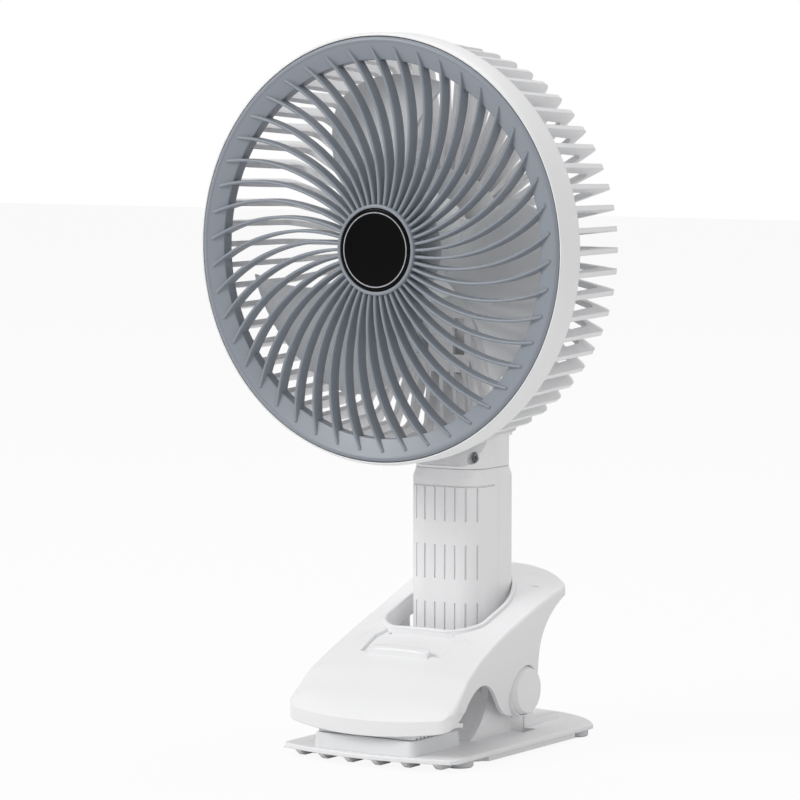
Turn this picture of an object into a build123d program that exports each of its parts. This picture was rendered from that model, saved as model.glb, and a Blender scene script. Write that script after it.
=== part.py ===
from build123d import *
import math
import os

os.makedirs("parts", exist_ok=True)

# Clip-on fan with a handle, in millimetres.
# X runs across the fan, the air leaves along -Y, and Z is the height above the table.
# The origin is at table height under the middle of the footprint.

# Where the main axes lie
HEAD_Z = 230.2
RIM_Y = -62.25
POLE_Y = 10.75
HINGE_Z = 26.1
TILT_Y = RIM_Y + 66.4
TILT_Z = HEAD_Z - 35.8
SEAM_Z = HEAD_Z - 102.0

# Fits between pieces
SWIVEL_GAP = 0.2
RUN_FIT = 0.05
SIDE_GAP = 0.3

# Front grille: depths are measured backwards from the rim plane
GRILLE_R = 94.6
GRILLE_DEPTH = 8.6
RING_WALL = 1.8
ANNULUS_WIDE = 10.2
ANNULUS_SINK = 2.6
LIP_WIDE = 2.4
ANNULUS_R = GRILLE_R - ANNULUS_WIDE
LIP_R = GRILLE_R - LIP_WIDE
RIB_COUNT = 46
RIB_THICK = 1.4
RIB_FRONT = 0.55
RIB_BACK = 7.0
RIB_ARC_R = 82.0
RIB_OVERLAP = 5.73
RIB_FIRST_ANGLE = -14.7
HUB_R = 20.3
HUB_FRONT = -0.5
BADGE_R = 18.6
BADGE_SEAT = 1.2
BADGE_FACE = -0.4
BADGE_LINE_R = 16.6
BADGE_LINE_WIDE = 0.5

# Rear cage
GRILLE_FIT = 0.4
BAND_WALL = 1.5
SHELF_WIDE = 2.8
CAGE_BORE_R = GRILLE_R + GRILLE_FIT
CAGE_SHELF_R = CAGE_BORE_R - SHELF_WIDE
CAGE_R = CAGE_BORE_R + BAND_WALL
CAGE_BAND_FRONT = 0.9
CAGE_BAND_BACK = 15.6
FIN_COUNT = 60
FIN_THICK = 2.3
FIN_DEEP = 8.0
FIN_LEAN = 5.3
FIN_CORNER_R = CAGE_R - FIN_LEAN
FIN_CORNER_Y = 59.6
FIN_HUB_Y = 63.5
CAGE_HUB_R = 35.0
HUB_PLATE_Y = 54.0
HUB_PLATE_THICK = 2.2
SPINE_HALF = 15.6
SPINE_WALL = 2.7
SPINE_BOTTOM = 57.5
SPINE_LOBE_R = 11.5
SPINE_SLOT_X = 9.7
SPINE_SLOT_WIDE = 6.2
SPINE_SLOT_TALL = 16.5

# Motor and rotor
MOTOR_R = 17.5
MOTOR_FRONT = 30.0
MOTOR_BACK = 50.0
END_PLATE_THICK = 2.0
MOTOR_BOSS_AT = 12.0
SHAFT_R = 1.5
ROTOR_HUB_R = 25.0
ROTOR_HUB_FRONT = 16.0
ROTOR_HUB_BACK = 42.0
TIP_CLEARANCE = 6.4
ROTOR_TIP_R = ANNULUS_R - TIP_CLEARANCE
BLADE_COUNT = 3
BLADE_THICK = 1.8
BLADE_MID_Y = 28.0
BLADE_RISE_ROOT = 10.0
BLADE_RISE_TIP = 12.5
BLADE_FIRST_ANGLE = -10.0

# Neck and tilt hinge
NECK_HALF = 18.4
NECK_CORNER = 10.4
NECK_SHOULDER_Z = HEAD_Z - 88.0
ARM_Z = HEAD_Z - 62.0
ARM_HALF = 12.15
ARM_FRONT_Y = RIM_Y + 64.4
ARM_BACK_Y = RIM_Y + 80.0
BARREL_R = 9.0
TILT_SCREW_R = 2.4
NECK_SPLIT_Y = POLE_Y - 2.0
NECK_SCREW_X = 14.2
NECK_SCREW_Z = HEAD_Z - 97.0
SPIGOT_R = 10.0
SPIGOT_BORE_R = 7.0

# Handle
HANDLE_HALF = 19.5
HANDLE_CORNER = 11.0
HANDLE_WALL = 2.2
HANDLE_BOTTOM = 38.2
HANDLE_FLOOR = 2.6
HANDLE_TOP = SEAM_Z - SWIVEL_GAP
BEVEL_TALL = 4.2
BEVEL_ANGLE = 19.0
GROOVE_Z = HEAD_Z - 109.6
GROOVE_SIZE = 0.7
SLIT_PITCH = 5.4
SLIT_PER_SIDE = 4
SLIT_LENGTH = 15.6
SLIT_ROWS = 3
SLIT_ROW_PITCH = 26.7
SLIT_TOP_Z = HEAD_Z - 110.3
BUTTON_R = 4.4
BUTTON_Z = HEAD_Z - 120.0
BUTTON_TRAVEL = 0.8
LENS_Z = HEAD_Z - 133.0
INLET_Z = HEAD_Z - 145.0
FOOT_SCREW_Y = (POLE_Y - 8.0, POLE_Y + 8.0)
CELL_R = 9.1
CELL_LONG = 65.0
CELL_BOTTOM = 43.0
CELL_Y = POLE_Y - 1.5
BOARD_Y = POLE_Y + 12.6
BOARD_THICK = 1.6

# Base plate
PLATE_HALF = 46.5
PLATE_FRONT = -76.75
PLATE_REAR = 76.75
PLATE_FRONT_BOW = 8.0
PLATE_REAR_BOW = 25.0
PLATE_TOP = 6.0
PLATE_THICK = 2.2
SKIRT_HALF = 43.0
SKIRT_BOTTOM = 1.3
SKIRT_FRONT = RIM_Y + 18.5
SKIRT_REAR = RIM_Y + 104.5
GRIP_RIB_PITCH = 14.7
GRIP_RIB_BOTTOM = 1.7
FOOT_R = 6.3
FOOT_X = 37.6
FOOT_FRONT_Y = RIM_Y + 11.0
FOOT_REAR_Y = RIM_Y + 112.0
EAR_IN = 21.2
EAR_OUT = 25.2
DECK_THICK = 4.0
PIN_R = 2.0

# Upper jaw
JAW_WALL = 2.4
BOSS_OUT = 31.8
JAW_WALL_LEAN = 0.2
BOSS_R = 12.5
CAP_R = 11.3
CAP_FACE_R = 10.2
CAP_THICK = 4.5
NOSE_FRONT = RIM_Y - 14.5
TAIL_REAR = RIM_Y + 113.0
REST_HALF = 21.5
REST_FRONT = RIM_Y + 20.4
REST_DEEP = 1.5
STOP_HALF = 16.0
STOP_TALL = 2.2
TAIL_THICK = 3.5
HOLE_HALF = 26.0
HOLE_FRONT = RIM_Y + 37.0
HOLE_MID = RIM_Y + 72.0
HOLE_REAR = RIM_Y + 99.0
HOLE_SKIRT = 9.0
PAD_TOP = HEAD_Z - 217.2
PAD_GAP = 0.3

# Clip spring
WIRE_R = 0.75
COIL_R = 5.6
COIL_PITCH = 2.4
COIL_TURNS = 6
SPRING_LEG = 30.0
SPRING_SEAT = 0.05
SPRING_TURN = 147.0


def on_head(shape):
    """Place a piece drawn about the fan axis."""
    return Pos(0, RIM_Y, HEAD_Z) * shape


def turned(points):
    """Solid of revolution about the fan axis from (radius, depth) points."""
    return revolve(make_face(Polyline(*points, close=True)), Axis.Y)


def disc_y(radius, front, back, x=0.0, z=0.0):
    """Round bar along Y between two depths."""
    bar = extrude(Plane.XZ * Circle(radius), back - front)
    return Pos(x, back, z) * bar


def bar_x(radius, left, right, y, z):
    """Round bar along X."""
    return Pos(left, y, z) * extrude(Plane.YZ * Circle(radius), right - left)


def block(x0, x1, y0, y1, z0, z1):
    """Box from its six face positions."""
    middle = Pos((x0 + x1) / 2, (y0 + y1) / 2, (z0 + z1) / 2)
    return middle * Box(x1 - x0, y1 - y0, z1 - z0)


def post(half, corner, z0, z1, taper=0.0):
    """Rounded-square column about the handle axis."""
    outline = Pos(0, POLE_Y, z0) * RectangleRounded(2 * half, 2 * half, corner)
    return extrude(outline, z1 - z0, taper=taper)


def side_plate(face_yz, x0, x1):
    """Outline drawn in (y, z) and extruded between two X positions."""
    return Pos(x0, 0, 0) * extrude(Plane.YZ * face_yz, x1 - x0)


def mirrored(shape):
    """The piece and its twin on the other side of the fan."""
    return [shape, mirror(shape, Plane.YZ)]


# Front grille


def grille_rim():
    """Sunk annulus with a rounded lip, open at the back."""
    outline = make_face(Polyline(
        (GRILLE_R, GRILLE_DEPTH),
        (GRILLE_R, 0.9),
        (LIP_R + 1.3, 0.0),
        (LIP_R + 0.5, 0.0),
        (LIP_R, 0.45),
        (ANNULUS_R, ANNULUS_SINK),
        (ANNULUS_R, GRILLE_DEPTH),
        (ANNULUS_R + RING_WALL, GRILLE_DEPTH),
        (ANNULUS_R + RING_WALL, ANNULUS_SINK + RING_WALL),
        (GRILLE_R - RING_WALL, 0.45 + RING_WALL),
        (GRILLE_R - RING_WALL, GRILLE_DEPTH),
        close=True,
    ))
    return revolve(outline, Axis.Y)


def rib_turn(root, tip):
    """Angle in whole tenths that a rib's arc turns through between two radii."""
    sine = 2 * root * RIB_ARC_R
    cosine = 2 * RIB_ARC_R ** 2
    whole = tip ** 2 - root ** 2 - cosine
    turn = math.atan2(cosine, sine) + math.asin(whole / math.hypot(sine, cosine))
    return round(math.degrees(turn), 1)


def grille_rib():
    """One swept rib: a circular arc that leaves the hub radially."""
    half = RIB_THICK / 2
    root = HUB_R - 1.0
    centre = (root, RIB_ARC_R)
    turn = rib_turn(root, ANNULUS_R + RIB_OVERLAP)
    inner = CenterArc(centre, RIB_ARC_R - half, -90, turn)
    outer = CenterArc(centre, RIB_ARC_R + half, -90, turn)
    ends = [Line(inner @ 0, outer @ 0), Line(inner @ 1, outer @ 1)]
    strip = make_face([inner, outer] + ends)
    return Pos(0, RIB_BACK, 0) * extrude(Plane.XZ * strip, RIB_BACK - RIB_FRONT)


def front_grille():
    """Annulus, swirl ribs and the cup that holds the badge."""
    hub = turned([
        (0, BADGE_SEAT),
        (BADGE_R + 0.1, BADGE_SEAT),
        (BADGE_R + 0.1, HUB_FRONT + 0.3),
        (BADGE_R + 0.4, HUB_FRONT),
        (HUB_R - 0.4, HUB_FRONT),
        (HUB_R, HUB_FRONT + 0.4),
        (HUB_R, GRILLE_DEPTH - 0.2),
        (HUB_R - RING_WALL, GRILLE_DEPTH - 0.2),
        (HUB_R - RING_WALL, BADGE_SEAT + RING_WALL),
        (0, BADGE_SEAT + RING_WALL),
    ])
    rib = grille_rib()
    ribs = [
        Rot(0, -(RIB_FIRST_ANGLE + i * 360 / RIB_COUNT), 0) * rib
        for i in range(RIB_COUNT)
    ]
    return on_head(grille_rim() + [hub] + ribs)


def grille_badge():
    """Plain black disc with a groove for the ornament ring."""
    line_in = BADGE_LINE_R - BADGE_LINE_WIDE / 2
    line_out = BADGE_LINE_R + BADGE_LINE_WIDE / 2
    return on_head(turned([
        (0, BADGE_FACE),
        (line_in, BADGE_FACE),
        (line_in, BADGE_FACE + 0.4),
        (line_out, BADGE_FACE + 0.4),
        (line_out, BADGE_FACE),
        (BADGE_R - 0.6, BADGE_FACE),
        (BADGE_R, BADGE_FACE + 0.5),
        (BADGE_R, BADGE_SEAT),
        (0, BADGE_SEAT),
    ]))


def badge_ring():
    """Thin bright ring laid in the badge."""
    line_in = BADGE_LINE_R - BADGE_LINE_WIDE / 2
    line_out = BADGE_LINE_R + BADGE_LINE_WIDE / 2
    return on_head(turned([
        (line_in, BADGE_FACE - 0.08),
        (line_out, BADGE_FACE - 0.08),
        (line_out, BADGE_FACE + 0.4),
        (line_in, BADGE_FACE + 0.4),
    ]))


# Rear cage


def cage_fin():
    """One fin: along the side of the cage, round the corner and in to the hub."""
    outline = make_face(Polyline(
        (CAGE_R - 1.8, CAGE_BAND_BACK - 3.5),
        (FIN_CORNER_R, FIN_CORNER_Y),
        (CAGE_HUB_R - 1.5, FIN_HUB_Y),
        (CAGE_HUB_R - 1.5, FIN_HUB_Y - FIN_DEEP),
        (FIN_CORNER_R - FIN_DEEP - 1.5, FIN_CORNER_Y - FIN_DEEP),
        (CAGE_R - FIN_DEEP - 2.2, CAGE_BAND_BACK + 2.5),
        (CAGE_SHELF_R - 1.0, CAGE_BAND_BACK - 3.5),
        close=True,
    ))
    corner = outline.vertices().sort_by(lambda v: v.X + v.Y)[-1]
    outline = fillet(corner, 4.0)
    inner = outline.vertices().sort_by(
        lambda v: abs(v.X - FIN_CORNER_R + FIN_DEEP + 1.5) + abs(v.Y - FIN_CORNER_Y + FIN_DEEP)
    )[0]
    outline = fillet(inner, 5.0)
    return extrude(outline, FIN_THICK / 2, both=True)


def spine_outline():
    """Side view of the hinge housing behind the cage, about the tilt axis."""
    front = RIM_Y + HUB_PLATE_Y
    bottom = HEAD_Z - SPINE_BOTTOM
    wall = Pos((front + TILT_Y) / 2, (bottom + TILT_Z + SPINE_LOBE_R) / 2)
    wall = wall * Rectangle(TILT_Y - front, TILT_Z + SPINE_LOBE_R - bottom)
    lobe = Pos(TILT_Y, TILT_Z) * Circle(SPINE_LOBE_R)
    return wall + lobe


def rear_cage():
    """Front band, sixty fins, hub plate and the hinge housing."""
    band = turned([
        (CAGE_R - 0.9, CAGE_BAND_FRONT),
        (CAGE_R, CAGE_BAND_FRONT + 2.5),
        (CAGE_R, CAGE_BAND_BACK),
        (CAGE_SHELF_R, CAGE_BAND_BACK),
        (CAGE_SHELF_R, GRILLE_DEPTH),
        (CAGE_BORE_R, GRILLE_DEPTH),
        (CAGE_BORE_R, CAGE_BAND_FRONT),
    ])
    plate_back = HUB_PLATE_Y + HUB_PLATE_THICK
    hub = turned([
        (0, HUB_PLATE_Y),
        (CAGE_HUB_R, HUB_PLATE_Y),
        (CAGE_HUB_R, FIN_HUB_Y + 0.5),
        (CAGE_HUB_R - 2.0, FIN_HUB_Y + 0.5),
        (CAGE_HUB_R - 2.0, plate_back),
        (0, plate_back),
    ])
    fin = cage_fin()
    fins = [Rot(0, i * 360 / FIN_COUNT, 0) * fin for i in range(FIN_COUNT)]
    boss = disc_y(3.0, MOTOR_BACK + END_PLATE_THICK, HUB_PLATE_Y + 0.1, x=MOTOR_BOSS_AT)
    bosses = [Rot(0, 90 + 120 * i, 0) * boss for i in range(3)]
    cage = on_head(band + [hub] + fins + bosses)
    housing = side_plate(spine_outline(), -SPINE_HALF, SPINE_HALF)
    inner_half = SPINE_HALF - SPINE_WALL
    front = RIM_Y + plate_back
    room = block(
        -inner_half, inner_half, front, RIM_Y + 90,
        HEAD_Z - SPINE_BOTTOM - 1, TILT_Z + SPINE_LOBE_R + 1,
    )
    slot = block(
        SPINE_SLOT_X - SPINE_SLOT_WIDE / 2, SPINE_SLOT_X + SPINE_SLOT_WIDE / 2,
        RIM_Y + HUB_PLATE_Y - 6, front + 1,
        HEAD_Z - 49.4, HEAD_Z - 49.4 + SPINE_SLOT_TALL,
    )
    cage = cage + housing
    cage = cage - room
    cage = cage - mirrored(slot)
    cage = cage - bar_x(TILT_SCREW_R + 0.3, -30, 30, TILT_Y, TILT_Z)
    screw_hole = disc_y(1.1, MOTOR_BACK, plate_back + 1, x=MOTOR_BOSS_AT)
    for i in range(3):
        cage = cage - on_head(Rot(0, 90 + 120 * i, 0) * screw_hole)
    return cage


def motor_cover():
    """Shallow dome that closes the back of the hub."""
    edge = CAGE_HUB_R - 2.3
    base = HUB_PLATE_Y + HUB_PLATE_THICK
    dome = turned([
        (0, FIN_HUB_Y + 3.5),
        (edge * 0.45, FIN_HUB_Y + 3.2),
        (edge * 0.8, FIN_HUB_Y + 2.0),
        (edge, FIN_HUB_Y - 0.6),
        (edge, base),
        (edge - 2.0, base),
        (edge - 2.0, FIN_HUB_Y - 1.6),
        (edge * 0.75, FIN_HUB_Y + 0.2),
        (edge * 0.45, FIN_HUB_Y + 1.2),
        (0, FIN_HUB_Y + 1.5),
    ])
    notch = block(
        -SPINE_HALF - 0.4, SPINE_HALF + 0.4, RIM_Y + 50, RIM_Y + 90,
        TILT_Z - 10, TILT_Z + SPINE_LOBE_R + 1.4,
    )
    return on_head(dome) - notch


# Motor and rotor


def motor_can():
    """Stator housing with a bore for the bushes."""
    can = turned([
        (4.0, MOTOR_FRONT),
        (MOTOR_R - 2.0, MOTOR_FRONT),
        (MOTOR_R, MOTOR_FRONT + 2.0),
        (MOTOR_R, MOTOR_BACK),
        (4.0, MOTOR_BACK),
    ])
    return on_head(can)


def motor_end_plate():
    """Round plate that bolts the motor to the hub."""
    plate = turned([
        (4.0, MOTOR_BACK),
        (MOTOR_R + 0.5, MOTOR_BACK),
        (MOTOR_R + 0.5, MOTOR_BACK + END_PLATE_THICK),
        (4.0, MOTOR_BACK + END_PLATE_THICK),
    ])
    hole = disc_y(1.1, MOTOR_BACK - 1, MOTOR_BACK + 3, x=MOTOR_BOSS_AT)
    holes = [Rot(0, 90 + 120 * i, 0) * hole for i in range(3)]
    return on_head(plate - holes)


def motor_bushes():
    """Front and back bearing bushes."""
    places = [MOTOR_FRONT, MOTOR_BACK + END_PLATE_THICK - 5.0]
    rings = [
        turned([
            (SHAFT_R + RUN_FIT, y),
            (4.0, y),
            (4.0, y + 5.0),
            (SHAFT_R + RUN_FIT, y + 5.0),
        ])
        for y in places
    ]
    return on_head(Compound(children=rings))


def motor_screws():
    """Three screws through the hub plate into the end plate."""
    back = HUB_PLATE_Y + HUB_PLATE_THICK
    screw = disc_y(1.0, MOTOR_BACK, back) + disc_y(2.2, back, back + 1.6)
    screws = [
        Rot(0, 90 + 120 * i, 0) * Pos(MOTOR_BOSS_AT, 0, 0) * screw
        for i in range(3)
    ]
    return on_head(Compound(children=screws))


def motor_shaft():
    """Steel shaft from the back bush to the rotor nut."""
    return on_head(disc_y(SHAFT_R, ROTOR_HUB_FRONT - 3.0, MOTOR_BACK + END_PLATE_THICK))


def blade_height(radius, turn):
    """Depth of the blade's middle surface at a radius and an angle."""
    share = (radius - ROTOR_HUB_R) / (ROTOR_TIP_R - ROTOR_HUB_R)
    rise = BLADE_RISE_ROOT + (BLADE_RISE_TIP - BLADE_RISE_ROOT) * share
    return BLADE_MID_Y + rise * math.sin(math.radians(turn * 1.6))


def blade():
    """One wide petal: a twisted sheet cut to the petal's outline."""
    grid = []
    for i in range(6):
        radius = ROTOR_HUB_R - 4.0 + i * (ROTOR_TIP_R + 8.0 - ROTOR_HUB_R) / 5
        row = []
        for k in range(9):
            turn = -52.0 + 13.0 * k
            angle = math.radians(turn)
            row.append((
                radius * math.cos(angle),
                blade_height(radius, turn),
                radius * math.sin(angle),
            ))
        grid.append(row)
    sheet = Face.make_surface_from_array_of_points(grid)
    solid = thicken(sheet, amount=BLADE_THICK / 2, both=True)
    return solid & petal()


def polar(radius, angle):
    """Point in the rotor's plane."""
    return (radius * math.cos(math.radians(angle)), radius * math.sin(math.radians(angle)))


def petal():
    """Outline of a blade seen from the front, as a tall prism."""
    root = ROTOR_HUB_R - 1.5
    tip = ROTOR_TIP_R
    trailing = Spline(polar(root, -20), polar(48, -27), polar(tip, -40))
    end = ThreePointArc(polar(tip, -40), polar(tip, -18), polar(tip, 4))
    leading = Spline(
        polar(tip, 4), polar(69, 22), polar(52, 36), polar(root, 46),
        tangents=[(-math.sin(math.radians(8)), math.cos(math.radians(8))), (-1, 0)],
    )
    close = ThreePointArc(polar(root, 46), polar(root, 13), polar(root, -20))
    face = make_face([trailing, end, leading, close])
    return Pos(0, 60, 0) * extrude(Plane.XZ * face, 60)


def fan_rotor():
    """Cup-shaped hub with three wide blades."""
    hub = turned([
        (SHAFT_R, ROTOR_HUB_FRONT),
        (ROTOR_HUB_R - 3.5, ROTOR_HUB_FRONT),
        (ROTOR_HUB_R - 1.0, ROTOR_HUB_FRONT + 1.0),
        (ROTOR_HUB_R, ROTOR_HUB_FRONT + 3.5),
        (ROTOR_HUB_R, ROTOR_HUB_BACK),
        (ROTOR_HUB_R - 2.0, ROTOR_HUB_BACK),
        (ROTOR_HUB_R - 2.0, ROTOR_HUB_FRONT + 2.5),
        (5.0, ROTOR_HUB_FRONT + 2.5),
        (5.0, MOTOR_FRONT - 2.0),
        (SHAFT_R, MOTOR_FRONT - 2.0),
    ])
    one = blade()
    blades = [
        Rot(0, -(BLADE_FIRST_ANGLE + i * 360 / BLADE_COUNT), 0) * one
        for i in range(BLADE_COUNT)
    ]
    return on_head(hub + blades)


def rotor_nut():
    """Domed nut that holds the rotor on its shaft."""
    front = ROTOR_HUB_FRONT - 5.0
    return on_head(turned([
        (0, front),
        (3.0, front),
        (5.0, front + 1.5),
        (5.0, ROTOR_HUB_FRONT),
        (SHAFT_R, ROTOR_HUB_FRONT),
        (SHAFT_R, ROTOR_HUB_FRONT - 3.0),
        (0, ROTOR_HUB_FRONT - 3.0),
    ]))


# Tilt hinge and neck


def tilt_screw():
    """Hinge screw across the housing, its head sunk in the right wall."""
    return bar_x(TILT_SCREW_R, -SPINE_HALF + 0.4, SPINE_HALF - 1.4, TILT_Y, TILT_Z)


def tilt_washers():
    """Friction washers between the barrel and the housing walls."""
    inner = ARM_HALF + RUN_FIT
    ring = bar_x(6.5, inner, SPINE_HALF - SPINE_WALL, TILT_Y, TILT_Z)
    ring = ring - bar_x(TILT_SCREW_R, 0, 30, TILT_Y, TILT_Z)
    return Compound(children=mirrored(ring))


def arm_outline(z, half, front, back, corner):
    """Rounded rectangle across the neck at one height."""
    middle = (front + back) / 2
    return Pos(0, middle, z) * RectangleRounded(2 * half, back - front, corner)


def neck_body():
    """Neck from the swivel seam to the barrel of the tilt hinge."""
    low = post(NECK_HALF, NECK_CORNER, SEAM_Z, NECK_SHOULDER_Z)
    slope = make_face(Polyline(
        (POLE_Y - NECK_HALF - 1, SEAM_Z + 1.0),
        (POLE_Y - NECK_HALF + 1.2, SEAM_Z + 1.6),
        (ARM_FRONT_Y, NECK_SHOULDER_Z - 2.0),
        (ARM_FRONT_Y, NECK_SHOULDER_Z + 1),
        (POLE_Y - NECK_HALF - 1, NECK_SHOULDER_Z + 1),
        close=True,
    ))
    low = low - side_plate(slope, -30, 30)
    back = POLE_Y + NECK_HALF
    waist = loft([
        arm_outline(NECK_SHOULDER_Z, NECK_HALF, ARM_FRONT_Y, back, 6.0),
        arm_outline(NECK_SHOULDER_Z + 12, NECK_HALF - 2.4, ARM_FRONT_Y, back - 4, 5.5),
        arm_outline(ARM_Z, ARM_HALF, ARM_FRONT_Y, ARM_BACK_Y, 4.0),
    ])
    arm = extrude(
        arm_outline(ARM_Z, ARM_HALF, ARM_FRONT_Y, TILT_Y + BARREL_R - 0.5, 2.0),
        TILT_Z - ARM_Z,
    )
    barrel = bar_x(BARREL_R, -ARM_HALF, ARM_HALF, TILT_Y, TILT_Z)
    back_web = loft([
        arm_outline(ARM_Z, ARM_HALF, ARM_FRONT_Y + 3, ARM_BACK_Y, 4.0),
        arm_outline(TILT_Z - 4, ARM_HALF, ARM_FRONT_Y + 3, TILT_Y + BARREL_R - 0.6, 3.0),
    ])
    return low + waist + arm + barrel + back_web


def neck_pieces():
    """Front and rear neck shells, hollow for the lead and the spigot."""
    body = neck_body()
    body = body - bar_x(TILT_SCREW_R + RUN_FIT, -30, 30, TILT_Y, TILT_Z)
    body = body - Pos(0, POLE_Y, SEAM_Z + 1.2) * Cylinder(14.0, 2.6)
    body = body - block(-8.5, 8.5, POLE_Y - 5.6, POLE_Y + 5, SEAM_Z, ARM_Z + 8)
    for x in (-NECK_SCREW_X, NECK_SCREW_X):
        seat = POLE_Y - 8.5
        body = body - disc_y(2.75, POLE_Y - 30, seat, x=x, z=NECK_SCREW_Z)
        body = body - disc_y(1.05, seat - 1, POLE_Y + 6.0, x=x, z=NECK_SCREW_Z)
    tool = block(-30, 30, POLE_Y - 40, NECK_SPLIT_Y, SEAM_Z - 1, ARM_Z + 8)
    return body & tool, body - tool


def neck_screws():
    """Two screws that pull the neck shells together."""
    seat = POLE_Y - 8.5
    screw = disc_y(2.3, seat - 1.8, seat) + disc_y(1.0, seat, POLE_Y + 5.5)
    dimple = disc_y(1.1, seat - 2.5, seat - 0.9)
    screw = screw - dimple
    places = [(-NECK_SCREW_X, NECK_SCREW_Z), (NECK_SCREW_X, NECK_SCREW_Z)]
    return Compound(children=[Pos(x, 0, z) * screw for x, z in places])


def swivel_spigot():
    """Flanged tube that carries the neck on the handle."""
    flange = Pos(0, POLE_Y, SEAM_Z + 1.2) * Cylinder(13.9, 2.4)
    tube_bottom = SEAM_Z - 9.0
    tube = Pos(0, POLE_Y, (tube_bottom + SEAM_Z) / 2) * Cylinder(SPIGOT_R, SEAM_Z - tube_bottom)
    bore = Pos(0, POLE_Y, SEAM_Z - 3) * Cylinder(SPIGOT_BORE_R, 20)
    groove = Pos(0, POLE_Y, SEAM_Z - 5.2) * (Cylinder(11, 1.2) - Cylinder(9.0, 1.2))
    return flange + tube - bore - groove


def swivel_clip():
    """Open spring ring that keeps the spigot in the handle."""
    ring = Pos(0, POLE_Y, SEAM_Z - 5.2) * (Cylinder(12.5, 1.0) - Cylinder(9.1, 1.0))
    gap = block(-3.0, 3.0, POLE_Y + 5, POLE_Y + 20, SEAM_Z - 8, SEAM_Z - 3)
    return ring - gap


# Handle


def post_edge(along, half, corner):
    """Point and outward angle on the rounded square, from its front middle."""
    side = 1 if along >= 0 else -1
    flat = half - corner
    run = abs(along)
    if run <= flat:
        return side * run, -half, 0.0
    turn = (run - flat) / corner
    x = flat + corner * math.sin(turn)
    y = -flat - corner * math.cos(turn)
    return side * x, y, side * math.degrees(turn)


def handle_body():
    """Closed column with a bevelled top and the bore for the swivel."""
    outer = post(HANDLE_HALF, HANDLE_CORNER, HANDLE_BOTTOM, HANDLE_TOP - BEVEL_TALL)
    bevel = post(HANDLE_HALF, HANDLE_CORNER, HANDLE_TOP - BEVEL_TALL, HANDLE_TOP, BEVEL_ANGLE)
    inner = post(
        HANDLE_HALF - HANDLE_WALL, HANDLE_CORNER - HANDLE_WALL,
        HANDLE_BOTTOM + HANDLE_FLOOR, HANDLE_TOP - BEVEL_TALL,
    )
    bore = Pos(0, POLE_Y, HANDLE_TOP) * Cylinder(SPIGOT_R + RUN_FIT, 20)
    body = outer + bevel - inner - bore
    for y in FOOT_SCREW_Y:
        body = body - Pos(0, y, HANDLE_BOTTOM) * Cylinder(1.1, 12)
    return body


def handle_front():
    """Front shell with its slits and the line under the bevel."""
    shell = handle_body() & block(-30, 30, POLE_Y - 30, POLE_Y, 0, HEAD_Z)
    line = post(HANDLE_HALF + 1, HANDLE_CORNER + 1, GROOVE_Z - GROOVE_SIZE, GROOVE_Z)
    line = line - post(HANDLE_HALF - 0.6, HANDLE_CORNER - 0.6, GROOVE_Z - 2, GROOVE_Z + 2)
    line = line & block(-30, 30, POLE_Y - 30, POLE_Y - 3.7, 0, HEAD_Z)
    shell = shell - line
    slits = []
    for row in range(SLIT_ROWS):
        top = SLIT_TOP_Z - row * SLIT_ROW_PITCH
        for k in range(-SLIT_PER_SIDE, SLIT_PER_SIDE):
            x, y, angle = post_edge((k + 0.5) * SLIT_PITCH, HANDLE_HALF, HANDLE_CORNER)
            place = Pos(x, POLE_Y + y, top - SLIT_LENGTH / 2) * Rot(0, 0, angle)
            slits.append(place * Box(0.7, 1.2, SLIT_LENGTH))
    shell = shell - slits
    for x in (-13.0, 13.0):
        lug = disc_y(2.6, POLE_Y - 14.0, POLE_Y, x=x, z=HANDLE_BOTTOM + 7)
        pilot = disc_y(1.0, POLE_Y - 10.0, POLE_Y + 1, x=x, z=HANDLE_BOTTOM + 7)
        shell = shell + lug - pilot
    return shell


def handle_rear():
    """Rear shell with the holes for button, lens and inlet."""
    shell = handle_body() & block(-30, 30, POLE_Y, POLE_Y + 30, 0, HEAD_Z)
    back = POLE_Y + HANDLE_HALF
    inside = back - HANDLE_WALL
    stand = BOARD_Y + BOARD_THICK
    for x in (-6.5, 6.5):
        for z in (BUTTON_Z + 4.5, INLET_Z - 3.5):
            shell = shell + disc_y(1.2, stand, inside + 0.5, x=x, z=z)
    shell = shell - disc_y(BUTTON_R + 0.1, inside - 0.2, back + 1, z=BUTTON_Z)
    shell = shell - disc_y(BUTTON_R + 1.0, inside - 0.2, back - 1.2, z=BUTTON_Z)
    for k in (-1, 0, 1):
        shell = shell - disc_y(1.0, inside - 0.2, back + 1, x=4.0 * k, z=LENS_Z)
    inlet = Pos(0, back - 1, INLET_Z) * Rot(90, 0, 0) * extrude(
        RectangleRounded(9.3, 3.6, 1.7), 6, both=True)
    shell = shell - inlet
    for x in (-13.0, 13.0):
        z = HANDLE_BOTTOM + 7
        lug = disc_y(3.0, POLE_Y, POLE_Y + 14.0, x=x, z=z)
        shell = shell + lug
        shell = shell - disc_y(1.15, POLE_Y - 1, POLE_Y + 30, x=x, z=z)
        shell = shell - disc_y(2.4, POLE_Y + 8.0, POLE_Y + 30, x=x, z=z)
    return shell


def handle_screws():
    """Two screws that join the handle shells near the foot."""
    screw = disc_y(1.0, POLE_Y - 8.0, POLE_Y + 8.0) + disc_y(2.1, POLE_Y + 8.0, POLE_Y + 9.8)
    screw = screw - disc_y(1.0, POLE_Y + 8.9, POLE_Y + 12)
    z = HANDLE_BOTTOM + 7
    return Compound(children=[Pos(-13.0, 0, z) * screw, Pos(13.0, 0, z) * screw])


def battery_cell():
    """Rechargeable cell with its raised contact."""
    can = Pos(0, CELL_Y, CELL_BOTTOM + CELL_LONG / 2) * Cylinder(CELL_R, CELL_LONG - 1)
    nub = Pos(0, CELL_Y, CELL_BOTTOM + CELL_LONG) * Cylinder(3.0, 1.0)
    return fillet(can.edges(), 0.8) + nub


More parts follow.
